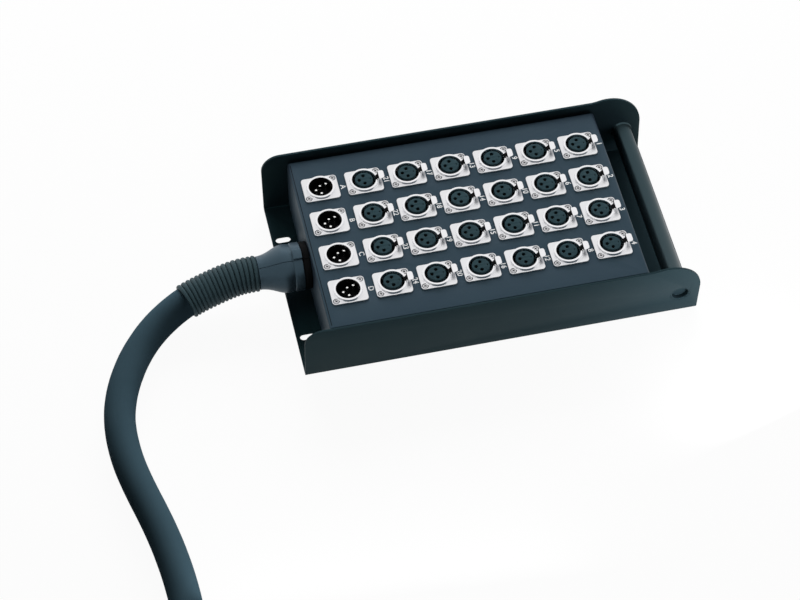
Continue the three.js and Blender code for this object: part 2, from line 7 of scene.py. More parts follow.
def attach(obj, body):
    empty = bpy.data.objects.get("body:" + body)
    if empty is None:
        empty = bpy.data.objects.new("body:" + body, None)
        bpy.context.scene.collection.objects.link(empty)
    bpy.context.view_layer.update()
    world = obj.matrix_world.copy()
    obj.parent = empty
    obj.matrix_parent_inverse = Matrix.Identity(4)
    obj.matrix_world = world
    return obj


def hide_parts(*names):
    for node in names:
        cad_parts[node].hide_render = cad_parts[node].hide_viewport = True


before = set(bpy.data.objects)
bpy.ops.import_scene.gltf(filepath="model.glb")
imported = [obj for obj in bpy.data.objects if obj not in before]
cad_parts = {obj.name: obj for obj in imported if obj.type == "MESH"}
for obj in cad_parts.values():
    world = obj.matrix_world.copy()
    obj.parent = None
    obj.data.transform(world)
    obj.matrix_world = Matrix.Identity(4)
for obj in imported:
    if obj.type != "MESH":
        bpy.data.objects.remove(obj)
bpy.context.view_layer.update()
scene = bpy.context.scene
mm = 0.001
boxBody = "stage_box"  # everything rides on it but the latches


def linked(name, data):
    thing = bpy.data.objects.new(name, data)
    scene.collection.objects.link(thing)
    return thing


# Camera: it stands in front of the box, a little to its left, and looks down on the panel
cameraView = {
    "place": (-0.3993, -1.4643, 1.8846),
    "right": (0.97604, -0.2176, 0.00216),
    "up": (0.17034, 0.77017, 0.61468),
    "lens": 124.72, "sensor": 36,  # mm
    "clip": (0.05, 40),
}


def makeCamera(view):
    right = Vector(view["right"]).normalized()
    up = Vector(view["up"])
    up = (up - right * up.dot(right)).normalized()
    turn = Matrix((right, up, right.cross(up))).transposed().to_4x4()
    data = bpy.data.cameras.new("photoCamera")
    data.sensor_fit, data.sensor_width, data.lens = "HORIZONTAL", view["sensor"], view["lens"]
    data.clip_start, data.clip_end = view["clip"]
    camera = linked("photoCamera", data)
    camera.matrix_world = Matrix.Translation(view["place"]) @ turn
    scene.camera = camera


makeCamera(cameraView)
print("stage: camera")


# Shared helpers: colours and nodes first, then meshes
def fromHex(text):
    parts = [int(text[i:i + 2], 16) / 255 for i in (1, 3, 5)]
    return [c / 12.92 if c <= 0.04045 else ((c + 0.055) / 1.055) ** 2.4 for c in parts] + [1]


def addNode(tree, kind, inputs=None, **settings):
    node = tree.nodes.new(kind)
    for name, value in settings.items():
        setattr(node, name, value)
    for name, value in (inputs or {}).items():
        if isinstance(value, bpy.types.NodeSocket):
            tree.links.new(value, node.inputs[name])
        else:
            node.inputs[name].default_value = value
    return node


def emptyTree(owner):  # the owner is a material or the world
    owner.use_nodes = True
    owner.node_tree.nodes.clear()
    return owner.node_tree


def perMetre(sizeMm):  # the noise scale whose features are this many millimetres
    return 1 / (sizeMm * mm)


def startMaterial(name):
    material = bpy.data.materials.new(name)
    tree = emptyTree(material)
    shader = addNode(tree, "ShaderNodeBsdfPrincipled")
    addNode(tree, "ShaderNodeOutputMaterial", {"Surface": shader.outputs["BSDF"]})
    place = addNode(tree, "ShaderNodeTexCoord").outputs["Object"]
    return material, tree, shader, place


def shade(mesh, sharpDegrees):
    mesh.polygons.foreach_set("use_smooth", [True] * len(mesh.polygons))
    mesh.set_sharp_from_angle(angle=math.radians(sharpDegrees))


def newPiece(name, mesh, finish=None, sharpDegrees=32):
    if finish:
        mesh.materials.clear()
        mesh.materials.append(finish)
    shade(mesh, sharpDegrees)
    return linked(name, mesh)


def paintWhere(piece, finish, isThere):  # a second finish on the faces whose middle is there
    piece.data.materials.append(finish)
    for face in piece.data.polygons:
        face.material_index = int(isThere(face.center))


def cleaned(mesh, gap):  # corners nearer than the gap are joined, and the faces turned outwards
    work = bmesh.new()
    work.from_mesh(mesh)
    bmesh.ops.remove_doubles(work, verts=work.verts, dist=gap)
    bmesh.ops.recalc_face_normals(work, faces=work.faces)
    work.to_mesh(mesh)
    work.free()
    return mesh


def meshFrom(name, points, faces):
    mesh = bpy.data.meshes.new(name)
    mesh.from_pydata([tuple(p) for p in points], [], faces)
    return cleaned(mesh, 1e-7)


def turnedMesh(name, profile, steps=48, closed=False):  # profile of radius and height in mm
    points, rings, faces = [], [], []
    for radius, height in profile:
        if radius == 0:  # the profile ends on the axis
            rings.append([len(points)] * steps)
            points.append((0, 0, height * mm))
            continue
        rings.append([len(points) + i for i in range(steps)])
        for i in range(steps):
            angle = 2 * math.pi * i / steps
            points.append((radius * mm * math.cos(angle), radius * mm * math.sin(angle),
                           height * mm))
    pairs = list(zip(rings, rings[1:])) + ([(rings[-1], rings[0])] if closed else [])
    for low, high in pairs:
        for i in range(steps):
            j = (i + 1) % steps
            face = list(dict.fromkeys((low[i], low[j], high[j], high[i])))
            if len(face) > 2:
                faces.append(face)
    return meshFrom(name, points, faces)


def roundCorners(length, width, corner, steps=6):
    points = []
    for sx, sy, start in ((1, 1, 0), (-1, 1, 90), (-1, -1, 180), (1, -1, 270)):
        for i in range(steps + 1):
            angle = math.radians(start + 90 * i / steps)
            points.append((sx * (length / 2 - corner) + corner * math.cos(angle),
                           sy * (width / 2 - corner) + corner * math.sin(angle)))
    return points


def circle(radius, centre=(0, 0), steps=48):
    return [(centre[0] + radius * math.cos(2 * math.pi * i / steps),
             centre[1] + radius * math.sin(2 * math.pi * i / steps)) for i in range(steps)]


def meshOf(thing):  # what its modifiers, or its curve, come to
    graph = bpy.context.evaluated_depsgraph_get()
    return bpy.data.meshes.new_from_object(thing.evaluated_get(graph))


def plateMesh(name, outer, holes, low, high, edge, edgeSteps=2):
    # outlines in mm, drawn inside by the rounded edge
    curve = bpy.data.curves.new(name, "CURVE")
    curve.dimensions, curve.fill_mode = "2D", "BOTH"
    curve.extrude = ((high - low) / 2 - edge) * mm
    curve.bevel_depth, curve.bevel_resolution = edge * mm, edgeSteps
    for outline in [outer] + [list(reversed(hole)) for hole in holes]:
        spline = curve.splines.new("POLY")
        spline.points.add(len(outline) - 1)
        for point, (x, y) in zip(spline.points, outline):
            point.co = (x * mm, y * mm, 0, 1)
        spline.use_cyclic_u = True
    drawn = linked(name, curve)
    mesh = meshOf(drawn)
    bpy.data.objects.remove(drawn)
    bpy.data.curves.remove(curve)
    mesh.transform(Matrix.Translation((0, 0, (low + high) / 2 * mm)))
    return cleaned(mesh, 1e-6)


def joined(name, meshes):
    work = bmesh.new()
    for mesh in meshes:
        work.from_mesh(mesh)
    result = bpy.data.meshes.new(name)
    work.to_mesh(result)
    work.free()
    return result


def applied(piece):  # the piece's modifiers become its mesh
    mesh = meshOf(piece)
    piece.modifiers.clear()
    piece.data = mesh
    return piece


def carve(piece, cutters):
    for cutter in cutters:
        modifier = piece.modifiers.new("cut", "BOOLEAN")
        modifier.operation, modifier.solver, modifier.object = "DIFFERENCE", "EXACT", cutter
    applied(piece)
    for cutter in cutters:
        bpy.data.objects.remove(cutter)
    return piece


def brick(name, low, high):  # corners in mm
    points = [(x * mm, y * mm, z * mm) for x in (low[0], high[0])
              for y in (low[1], high[1]) for z in (low[2], high[2])]
    faces = [(0, 1, 3, 2), (4, 6, 7, 5), (0, 4, 5, 1), (2, 3, 7, 6), (0, 2, 6, 4), (1, 5, 7, 3)]
    return newPiece(name, meshFrom(name, points, faces))


def layDown(mesh, place, degrees):  # a turned mesh laid along X, its foot at the place
    mesh.transform(Matrix.Translation([v * mm for v in place])
                   @ Matrix.Rotation(math.radians(degrees), 4, "Y"))


def settle(piece, body, slot, *nodes):
    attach(piece, body)
    if nodes:
        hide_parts(*nodes)
    return piece


# Cable: from inside the gland, over the floor and into the coil
cable = {
    "radius": 13.25,
    "length": 13.76,  # metres, most of it in the coil
    "exit": (-0.14885, 0, 0.03),
    "perStretch": 3, "every": 2,  # points on each stretch of the route, and which of them are used
    "stepsBetween": 4, "roundness": 7,
    "route": [
        (-139, 0, 30), (-160, 0, 30), (-178, 0, 30), (-195, 0, 30), (-211, -0.5, 29.4),
        (-232, -3.6, 25.9), (-256, -9.6, 21.2), (-272.5, -17.6, 17.8), (-288.8, -29.6, 15.2),
        (-305, -48, 13.8), (-317, -68, 13.5), (-326, -89.5, 13.5), (-331.5, -112, 13.5),
        (-333, -133, 13.5), (-331.5, -158.5, 13.5), (-327, -184, 13.5), (-320.5, -212, 13.5),
        (-314, -245, 13.5), (-309.5, -285, 13.5), (-309, -325, 13.5), (-312.5, -370, 13.5),
        (-318.5, -420, 13.5), (-325.5, -468, 13.5), (-330.6, -512, 13.5), (-332.75, -540, 13.5),
        (-332.75, -563, 13.5),
    ],
}
coil = {
    "centre": (-126.85, -590), "innerRadius": 110, "pitch": 27.4, "layerPitch": 27.3,
    "layers": 4, "turns": 3.5, "lastTurns": 2.75, "startAngle": 180, "climb": 0.5,
    "bed": 13.5, "endHeight": 107.65, "tail": 44, "stepsPerTurn": 24,
}


def alongRoute(points, perStretch):  # a smooth line through the points, even in its bends
    ends = [Vector(p) for p in points]
    ends = [2 * ends[0] - ends[1]] + ends + [2 * ends[-1] - ends[-2]]
    line = []
    for before, start, end, after in zip(ends, ends[1:], ends[2:], ends[3:]):
        first, middle, last = (math.sqrt((b - a).length) for a, b in
                               ((before, start), (start, end), (end, after)))
        leave = ((start - before) / first - (end - before) / (first + middle)
                 + (end - start) / middle) * middle
        arrive = ((end - start) / middle - (after - start) / (middle + last)
                  + (after - end) / last) * middle
        for i in range(perStretch):
            t = i / perStretch
            line.append(start * (2 * t ** 3 - 3 * t ** 2 + 1) + leave * (t ** 3 - 2 * t ** 2 + t)
                        + end * (3 * t ** 2 - 2 * t ** 3) + arrive * (t ** 3 - t ** 2))
    return line + [ends[-2]]


def smooth(share):
    t = min(max(share, 0), 1)
    return t * t * (3 - 2 * t)


def coilLine(c):
    total = c["turns"] * (c["layers"] - 1) + c["lastTurns"]
    endRise = c["endHeight"] - c["bed"] - (c["layers"] - 1) * c["layerPitch"]
    steps = round(total * c["stepsPerTurn"])
    line = []
    for i in range(steps + 1):
        turn = total * i / steps
        layer = min(int(turn // c["turns"]), c["layers"] - 1)
        within = turn - layer * c["turns"]
        radius = c["innerRadius"] + c["pitch"] * (within if layer % 2 else c["turns"] - within)
        height = c["bed"] + endRise * smooth((turn - total + c["climb"]) / c["climb"])
        height += sum(c["layerPitch"] * smooth((turn - step * c["turns"]) / c["climb"] + 0.5)
                      for step in range(1, c["layers"]))
        angle = math.radians(c["startAngle"]) + 2 * math.pi * turn
        line.append(Vector((c["centre"][0] + radius * math.cos(angle),
                            c["centre"][1] + radius * math.sin(angle), height)))
    return line + [line[-1] + Vector((c["tail"], 0, 0))]


def makeCable(settings, coilPoints):
    # the route's line is drawn finer than the coil's, because it is the stretch that shows
    route = alongRoute(settings["route"], settings["perStretch"])[::settings["every"]]
    points = route + coilPoints[1:]
    curve = bpy.data.curves.new("multicoreCable", "CURVE")
    curve.dimensions, curve.twist_mode = "3D", "MINIMUM"
    curve.resolution_u, curve.bevel_resolution = settings["stepsBetween"], settings["roundness"]
    curve.bevel_depth, curve.use_fill_caps = 1, True  # 1 m, because each point holds the radius
    spline = curve.splines.new("BEZIER")
    spline.bezier_points.add(len(points) - 1)
    for bezier, point in zip(spline.bezier_points, points):
        bezier.co, bezier.radius = point * mm, settings["radius"] * mm
        bezier.handle_left_type = bezier.handle_right_type = "AUTO"
    piece = linked("multicoreCable", curve)
    print("stage: cable,", len(points), "points,",
          round(sum((b - a).length for a, b in zip(points, points[1:])) * mm, 3), "m")
    return settle(piece, boxBody, "cable_sheath", "cable", "cable_coil")


coilPoints = coilLine(coil)
multicore = makeCable(cable, coilPoints)


# Materials, each named for the real finish and, where it also stands for shade, for painted shade.
# All but the webbing share one build: a slightly clouded colour and gloss over a fine grain. Sizes
# are in mm
plainFinish = {
    "cloudRoughness": 0.5, "cloudSpan": (0, 1), "metallic": 0, "gloss": 0.5, "sheen": "#FFFFFF",
}
powderCoat = {  # satin polyester powder: even colour, a faint orange peel, softer where handled
    "cloud": 46, "cloudDetail": 3, "cloudRoughness": 0.6, "cloudSpan": (0.3, 0.7),
    "spread": (-0.04, 0.05),
    "grain": 2.4,  # the real peel is about 0.6 mm and is drawn coarser so that it shows
    "strength": 0.12, "depth": 0.05,
}
platedMetal = {  # nickel over die-cast zinc: pale, a little warm, with soft flow marks
    "cloud": 9, "cloudDetail": 4, "spread": (-0.06, 0.06),
    "grain": 1.6, "strength": 0.1, "depth": 0.03, "metallic": 1,
}
mouldedPlastic = {  # moulded polymer: a fine spark-eroded grain and slight clouding
    "cloud": 18, "cloudDetail": 3, "spread": (-0.05, 0.06),
    "grain": 1.2, "strength": 0.2, "depth": 0.04, "gloss": 0.1,
}
webbing = {  # hook-and-loop webbing: a coarse dark weave with a dry surface
    "thread": 0.6, "threadsPerWave": 6.28, "distortion": 1.5, "detail": 2,
    "strength": 0.5, "depth": 0.15, "roughness": 0.9, "fuzz": 0.3,
}


def colourBy(tree, shader, share, dark, light):
    colour = addNode(tree, "ShaderNodeMix", {
        "Factor": share, 6: fromHex(dark), 7: fromHex(light)}, data_type="RGBA")
    tree.links.new(colour.outputs[2], shader.inputs["Base Color"])


def bumpBy(tree, shader, height, strength, depth):
    bump = addNode(tree, "ShaderNodeBump", {
        "Height": height, "Strength": strength, "Distance": depth * mm})
    tree.links.new(bump.outputs["Normal"], shader.inputs["Normal"])


def makeFinish(name, kind, dark, light, roughness, **own):
    kind = plainFinish | kind | own
    material, tree, shader, place = startMaterial(name)
    cloud = addNode(tree, "ShaderNodeTexNoise", {
        "Vector": place, "Scale": perMetre(kind["cloud"]), "Detail": kind["cloudDetail"],
        "Roughness": kind["cloudRoughness"]}).outputs["Fac"]
    colourBy(tree, shader, cloud, dark, light)
    low, high = (roughness + step for step in kind["spread"])
    spread = addNode(tree, "ShaderNodeMapRange", {
        "Value": cloud, "From Min": kind["cloudSpan"][0], "From Max": kind["cloudSpan"][1],
        "To Min": low, "To Max": high})
    tree.links.new(spread.outputs["Result"], shader.inputs["Roughness"])
    grain = addNode(tree, "ShaderNodeTexNoise", {
        "Vector": place, "Scale": perMetre(kind["grain"]), "Detail": 2})
    bumpBy(tree, shader, grain.outputs["Fac"], kind["strength"], kind["depth"])
    shader.inputs["Metallic"].default_value = kind["metallic"]
    shader.inputs["Specular IOR Level"].default_value = kind["gloss"]
    shader.inputs["Specular Tint"].default_value = fromHex(kind["sheen"])
    return material


def makeWebbing(name, dark, light, w):
    material, tree, shader, place = startMaterial(name)
    wave = addNode(tree, "ShaderNodeTexWave", {
        "Vector": place, "Scale": perMetre(w["thread"] * w["threadsPerWave"]),
        "Distortion": w["distortion"], "Detail": w["detail"]}).outputs["Fac"]
    colourBy(tree, shader, wave, dark, light)
    bumpBy(tree, shader, wave, w["strength"], w["depth"])
    shader.inputs["Roughness"].default_value = w["roughness"]
    shader.inputs["Sheen Weight"].default_value = w["fuzz"]
    return material


trayPaint = makeFinish("trayPowderCoat", powderCoat, "#233037", "#27353C", 0.5,
                       gloss=0.16, sheen="#68FFF0")
coverPaint = makeFinish("coverPowderCoat", powderCoat, "#131824", "#161C29", 0.5,
                        gloss=0.82, sheen="#B4EBFF")
tubePaint = makeFinish("tubePowderCoat", powderCoat, "#0B0F10", "#0E1213", 0.31,
                       gloss=0.84, sheen="#BDEFFF")
flangeNickel = makeFinish("satinNickel", platedMetal, "#E1E1E3", "#EBEBED", 0.34)
collarNickel = makeFinish("turnedNickel", platedMetal, "#EAEAEC", "#F3F3F5", 0.24)
latchNickel = makeFinish("brightNickel", platedMetal, "#E8E8EA", "#F2F2F4", 0.24)
screwNickel = makeFinish("screwNickel", platedMetal, "#C6C6C8", "#D6D6D8", 0.3)
pinSilver = makeFinish("silveredPins", platedMetal, "#F2F2F0", "#FAFAF9", 0.2)
# painted shade: the contacts' brass is darkened to stand for the shade deep in the contact wells
shadedContactBrass = makeFinish("shadedContactBrass", platedMetal, "#2E2A20", "#3A352A", 0.5)
insertPlastic = makeFinish("insertNylon", mouldedPlastic, "#2D4248", "#31474E", 0.5)
# black nylon for the real black parts; also the painted shade in the screws' recesses and the
# latches' notches
darkNylonAndShade = makeFinish("blackNylonAndPaintedShade", mouldedPlastic, "#070809", "#0A0B0D", 0.5, gloss=0.06)
printInk = makeFinish("whitePrint", mouldedPlastic, "#F0F2F2", "#FAFBFB", 0.6, depth=0.01)
glandPlastic = makeFinish("glandNylon", mouldedPlastic, "#303C44", "#36424B", 0.4,
                          gloss=0.88, sheen="#B4E4FF")
sleeveRubber = makeFinish("sleeveRubber", mouldedPlastic, "#212D31", "#253237", 0.55,
                          gloss=0.66, sheen="#BCF0FF")
sheathPvc = makeFinish("sheathPvc", mouldedPlastic, "#3C525D", "#415762", 0.7,
                       grain=2.2, depth=0.03, gloss=0.015)
shellAnodised = makeFinish("anodisedShell", platedMetal, "#6E7174", "#7C8083", 0.36)
tieWebbing = makeWebbing("tieWebbing", "#0F1113", "#1B1E21", webbing)
print("stage: materials")

multicore.data.materials.append(sheathPvc)


# Steelwork: the folded pieces keep their CAD form and get broken edges
steel = {
    "edge": 0.45, "edgeSteps": 3,
    "joinDegrees": 0.6, "breakDegrees": 40, "sharpDegrees": 35,
    "gap": 0.002,  # corners nearer than this are one
}


def brokenEdges(node, name, finish, s):
    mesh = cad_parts[node].data.copy()
    mesh.name = name
    work = bmesh.new()
    work.from_mesh(mesh)
    bmesh.ops.remove_doubles(work, verts=work.verts, dist=s["gap"] * mm)
    bmesh.ops.dissolve_limit(work, angle_limit=math.radians(s["joinDegrees"]),
                             verts=work.verts, edges=work.edges)
    work.to_mesh(mesh)
    work.free()
    piece = newPiece(name, mesh, finish)
    bevel = piece.modifiers.new("edges", "BEVEL")
    bevel.width, bevel.segments = s["edge"] * mm, s["edgeSteps"]
    bevel.limit_method, bevel.angle_limit = "ANGLE", math.radians(s["breakDegrees"])
    bevel.harden_normals = False
    shade(applied(piece).data, s["sharpDegrees"])
    return piece


settle(brokenEdges("tray", "foldedTray", trayPaint, steel), boxBody, "tray_paint", "tray")
settle(brokenEdges("connector_box_cover", "foldedCover", coverPaint, steel),
       boxBody, "cover_paint", "connector_box_cover")

tube = {
    "radius": 8.5, "wall": 1.5, "x": 154.55, "z": 25.5, "lean": 0.0722, "steps": 72,
    "face": 96.05,  # the leaning plate's outer face
    "sheet": 2.0, "weld": 1.1, "plugDepth": 4.2,
    "fillet": ((0, -1.2), (0.3, -0.6), (0.7, -0.2)),  # the weld, in its own size
    "lip": ((0.28, -0.4), (0.1, -0.12), (-0.2, 0), (-0.5, 0), (-0.9, -0.12), (-1.2, -0.35),
            (-1.42, -0.75)),  # the ground end, from the radius and the face
    "weldTop": (0.1, 0.15), "mouth": 1.3, "plugCorner": 0.2,
    "paintSeam": 0.12, "paintOver": (0.5, 0.3),  # the tray's paint starts here
}


def makeTube(t):  # welded inside both plates, ground flush and plugged a little way in
    r, face, inner = t["radius"], t["face"], t["face"] - t["sheet"]
    weld, bore, plug = t["weld"], t["radius"] - t["wall"], t["face"] - t["plugDepth"]
    half = [(r, 0)] + [(r + out * weld, inner + up * weld) for out, up in t["fillet"]]
    half += [(r + weld, inner + t["weldTop"][0]), (r + t["lip"][0][0], inner + t["weldTop"][1])]
    half += [(r + out, face + up) for out, up in t["lip"]]
    half += [(bore, face - t["mouth"]), (bore, plug + t["plugCorner"]),
             (bore - t["plugCorner"], plug), (0, plug)]
    mesh = turnedMesh("handleTube", [(p, -q) for p, q in reversed(half)] + half[1:], t["steps"])
    mesh.transform(Matrix.Rotation(math.radians(90), 4, "X"))
    for vertex in mesh.vertices:
        vertex.co.y += vertex.co.z * t["lean"] * math.copysign(1, vertex.co.y)
    mesh.transform(Matrix.Translation((t["x"] * mm, 0, t["z"] * mm)))

    def atTheEnd(centre):
        spot = centre / mm
        along = abs(spot.y) - (spot.z - t["z"]) * t["lean"]
        below, beside = t["paintOver"]
        within = math.hypot(spot.x - t["x"], spot.z - t["z"]) < bore + beside
        return along > plug - below and (along > inner + t["paintSeam"] or within)

    piece = newPiece("handleTube", mesh, tubePaint)
    paintWhere(piece, trayPaint, atTheEnd)  # the ends are painted with the tray
    return piece


settle(makeTube(tube), boxBody, "tube_paint", "handle_tube")
print("stage: steelwork")


# Sockets: one of each kind is made about the origin and repeated over the panel
panel = {"top": 57.5, "firstX": -126.05, "firstY": 57.15, "pitch": 38.1, "columns": 7, "rows": 4}
returns, sends = {}, {}  # the middle of each socket, by its letter or its channel
for column in range(panel["columns"]):
    for row in range(panel["rows"]):
        spot = (panel["firstX"] + panel["pitch"] * column, panel["firstY"] - panel["pitch"] * row)
        if column == 0:
            returns["ABCD"[row]] = spot
        else:
            sends[(panel["columns"] - 1 - column) * panel["rows"] + row + 1] = spot
femaleNodes = ["send_socket_%02d" % channel for channel in sorted(sends)]
maleNodes = ["return_socket_" + letter for letter in returns]


def startTree(name, *inputs):  # Geometry Nodes with these inputs, a finish and a geometry
    tree = bpy.data.node_groups.new(name, "GeometryNodeTree")
    for label, kind in (("Geometry", "Geometry"), *inputs, ("Finish", "Material")):
        tree.interface.new_socket(label, in_out="INPUT", socket_type="NodeSocket" + kind)
    tree.interface.new_socket("Geometry", in_out="OUTPUT", socket_type="NodeSocketGeometry")
    return tree, addNode(tree, "NodeGroupInput").outputs


def endTree(tree, geometry, given):
    real = addNode(tree, "GeometryNodeRealizeInstances", {"Geometry": geometry})
    painted = addNode(tree, "GeometryNodeSetMaterial", {
        "Geometry": real.outputs["Geometry"], "Material": given["Finish"]})
    addNode(tree, "NodeGroupOutput", {"Geometry": painted.outputs["Geometry"]})
    return tree


def repeatTree():
    tree, given = startTree("repeatOverPanel", ("Piece", "Object"))
    piece = addNode(tree, "GeometryNodeObjectInfo", {"Object": given["Piece"]})
    spots = addNode(tree, "GeometryNodeMeshToPoints", {"Mesh": given["Geometry"]})
    copies = addNode(tree, "GeometryNodeInstanceOnPoints", {
        "Points": spots.outputs["Points"], "Instance": piece.outputs["Geometry"]})
    return endTree(tree, copies.outputs["Instances"], given)


def runTree(name, host, tree, values):
    modifier = host.modifiers.new("tree", "NODES")
    modifier.node_group = tree
    for item in tree.interface.items_tree:
        if item.item_type == "SOCKET" and item.in_out == "INPUT" and item.name in values:
            modifier[item.identifier] = values[item.name]
    mesh = meshOf(host)
    bpy.data.objects.remove(host)
    mesh.name = name
    return linked(name, mesh)


overPanel = repeatTree()


def repeated(name, master, spots, finish):
    points = bpy.data.meshes.new(name + "Spots")
    points.from_pydata([tuple(v * mm for v in spot) for spot in spots], [], [])
    piece = runTree(name, linked(name + "Spots", points), overPanel,
                    {"Piece": master, "Finish": finish})
    bpy.data.objects.remove(master)
    return piece


def onPanel(sockets, offsets=((0, 0),)):
    return [(x + dx, y + dy, panel["top"]) for x, y in sockets.values() for dx, dy in offsets]


socketShell = {
    "flange": (31, 26, 3), "flangeLow": 0.05, "flangeHigh": 1.8, "flangeEdge": 0.35,
    "screwSpots": ((12, 9.5), (-12, -9.5)), "screwHole": 2.75, "screwHoleSteps": 24,
    "bore": 10.3, "flangeBore": 11.5, "rim": 4.2, "sendFloor": -9, "returnFloor": -7, "steps": 64,
    # the collar from its bore outwards: its rim, and its foot on the flange
    "lip": ((0, -0.45), (0.14, -0.14), (0.45, 0), (1.5, 0), (1.86, -0.14), (2.0, -0.5)),
    "foot": ((2.2, 2.1), (2.35, 1.88), (2.9, 1.72), (2.9, 1.2), (0.8, 1.0)),
    "notchHalf": 2.5, "notchFloor": 2.1, "notchReach": (-0.6, 4), "notchTop": 6.2,
}


def makeFlange(name, s):
    e = s["flangeEdge"]
    length, width, corner = s["flange"]
    outer = roundCorners(length - 2 * e, width - 2 * e, corner - e)
    holes = [circle(s["flangeBore"] + e)]
    holes += [circle(s["screwHole"] + e, spot, s["screwHoleSteps"]) for spot in s["screwSpots"]]
    return newPiece(name, plateMesh(name, outer, holes, s["flangeLow"], s["flangeHigh"], e))


def makeCollar(name, s, floor, notched):
    bore, rim = s["bore"], s["rim"]
    profile = [(bore, floor)] + [(bore + out, rim + up) for out, up in s["lip"]]
    profile += [(bore + out, height) for out, height in s["foot"]]
    profile.append((bore + s["foot"][-1][0], floor))
    ring = newPiece(name, turnedMesh(name, profile, s["steps"], closed=True))
    if notched:
        start, end = (bore + reach for reach in s["notchReach"])
        carve(ring, [brick("notchCutter", (start, -s["notchHalf"], s["notchFloor"]),
                           (end, s["notchHalf"], s["notchTop"]))])
    return ring


femaleInsert = {
    "radius": 7.75, "top": 3.8, "floor": -8.8, "edge": 0.3,
    "ring": 4.2, "hole": 1.5, "holeSteps": 20,  # the contact wells
    "slot": (1.2, 2.0, 0.3, 2), "slotPlace": 5.6,  # length, width, corners and their steps
}


def threeAround(ring):
    return [(0, ring), (-ring, 0), (0, -ring)]


def makeInsert(name, i):  # a coding slot and three contact wells
    e = i["edge"]
    holes = [circle(i["hole"] + e, spot, i["holeSteps"]) for spot in threeAround(i["ring"])]
    holes.append([(x + i["slotPlace"], y) for x, y in roundCorners(*i["slot"])])
    return newPiece(name, plateMesh(
        name, circle(i["radius"] - e), holes, i["floor"], i["top"], e))


maleInside = {"ring": 4.15, "screw": (5.586, 5.586), "key": ((8.7, -1.5, -6.9), (10.2, 1.5, 3.3))}
turnedForms = {  # steps, whether the profile closes on itself, and its radii and heights
    "contactSleeve": (16, True, (
        (0.95, -6), (0.95, 1.7), (1.05, 1.85), (1.3, 1.85), (1.42, 1.7), (1.42, -6))),
    "malePin": (20, False, (
        (0, -7.2), (1.2, -7.2), (1.2, -0.1), (1.02, 0.35), (0.6, 0.62), (0, 0.7))),
    "maleLiner": (48, True, ((10.0, -6.9), (10.0, 3.4), (10.15, 3.6), (10.45, 3.6), (10.45, -6.9))),
    "insertScrew": (20, False, (
        (0, -7.2), (1.3, -7.2), (1.3, 0.3), (1.15, 0.58), (0.7, 0.7), (0, 0.72))),
    "femaleBack": (32, False, (
        (0, -21), (11.0, -21), (11.3, -20.7), (11.3, -9.0), (11.25, -8.8), (0, -8.8))),
    "maleBack": (32, False, (
        (0, -21), (11.0, -21), (11.3, -20.7), (11.3, -7.0), (11.2, -6.8), (0, -6.8))),
    "flangeScrew": (28, False, (
        (0, 0.2), (1.6, 0.2), (2.2, 1.25), (2.1, 1.55), (1.6, 1.83), (0.8, 1.95), (0, 1.95))),
}


def makeTurned(name):
    steps, closed, profile = turnedForms[name]
    return newPiece(name, turnedMesh(name, profile, steps, closed))


screw = {
    "slot": 0.8, "slotReach": 1.45, "turn": 28,
    "cut": (0.6, 3, 3),  # bottom of the cross's two bars, and their tops
    # painted shade: the levels of the black fill in the cross, and its gap from the slot's sides
    "paintedShadeLevels": (0.5, 1.45, 1.47), "paintedShadeGap": (0.05, 0.03),
}


def crossBars(s, reach, half, levels):
    low, first, second = levels
    bars = [brick("barA", (-reach, -half, low), (reach, half, first)),
            brick("barB", (-half, -reach, low), (half, reach, second))]
    for bar in bars:
        bar.data.transform(Matrix.Rotation(math.radians(s["turn"]), 4, "Z"))
    return bars


def makeScrew(s):  # a countersunk head in the flange's hole, with a cross recess
    return carve(makeTurned("flangeScrew"),
                 crossBars(s, s["slotReach"], s["slot"] / 2, s["cut"]))


def makeRecess(s):  # painted shade: a black fill that darkens the bottom of the cross, for the shade in the recess
    bars = crossBars(s, s["slotReach"] - s["paintedShadeGap"][0], s["slot"] / 2 - s["paintedShadeGap"][1],
                     s["paintedShadeLevels"])
    mesh = joined("screwRecess", [bar.data for bar in bars])
    for bar in bars:
        bpy.data.objects.remove(bar)
    return newPiece("screwRecess", mesh)


def onSockets(name, master, spots, finish, *nodes):
    settle(repeated(name, master, spots, finish), boxBody, "socket_nickel", *nodes)


everySocket, sendPanel, returnPanel = returns | sends, onPanel(sends), onPanel(returns)
everyScrew = onPanel(everySocket, socketShell["screwSpots"])
onSockets("socketFlanges", makeFlange("socketFlange", socketShell), sendPanel + returnPanel,
          flangeNickel, *femaleNodes, *maleNodes)
onSockets("femaleCollars",
          makeCollar("femaleCollar", socketShell, socketShell["sendFloor"], notched=True),
          sendPanel, collarNickel)
onSockets("maleCollars",
          makeCollar("maleCollar", socketShell, socketShell["returnFloor"], notched=False),
          returnPanel, collarNickel)
onSockets("femaleInserts", makeInsert("femaleInsert", femaleInsert), sendPanel, insertPlastic)
# painted shade: the sleeves wear the darkened brass, for the shade in the wells
onSockets("contactSleeves", makeTurned("contactSleeve"),
          onPanel(sends, threeAround(femaleInsert["ring"])), shadedContactBrass)
onSockets("malePins", makeTurned("malePin"), onPanel(returns, threeAround(maleInside["ring"])),
          pinSilver)
onSockets("maleLiners", makeTurned("maleLiner"), returnPanel, darkNylonAndShade)
onSockets("maleKeys", brick("maleKey", *maleInside["key"]), returnPanel, darkNylonAndShade)
onSockets("insertScrews", makeTurned("insertScrew"), onPanel(returns, [maleInside["screw"]]),
          pinSilver)
onSockets("femaleBacks", makeTurned("femaleBack"), sendPanel, darkNylonAndShade)
onSockets("maleBacks", makeTurned("maleBack"), returnPanel, darkNylonAndShade)
onSockets("flangeScrews", makeScrew(screw), everyScrew, screwNickel)
# painted shade: black fills at the bottom of the screws' cross recesses
onSockets("screwRecesses", makeRecess(screw), everyScrew, darkNylonAndShade)
print("stage: sockets")


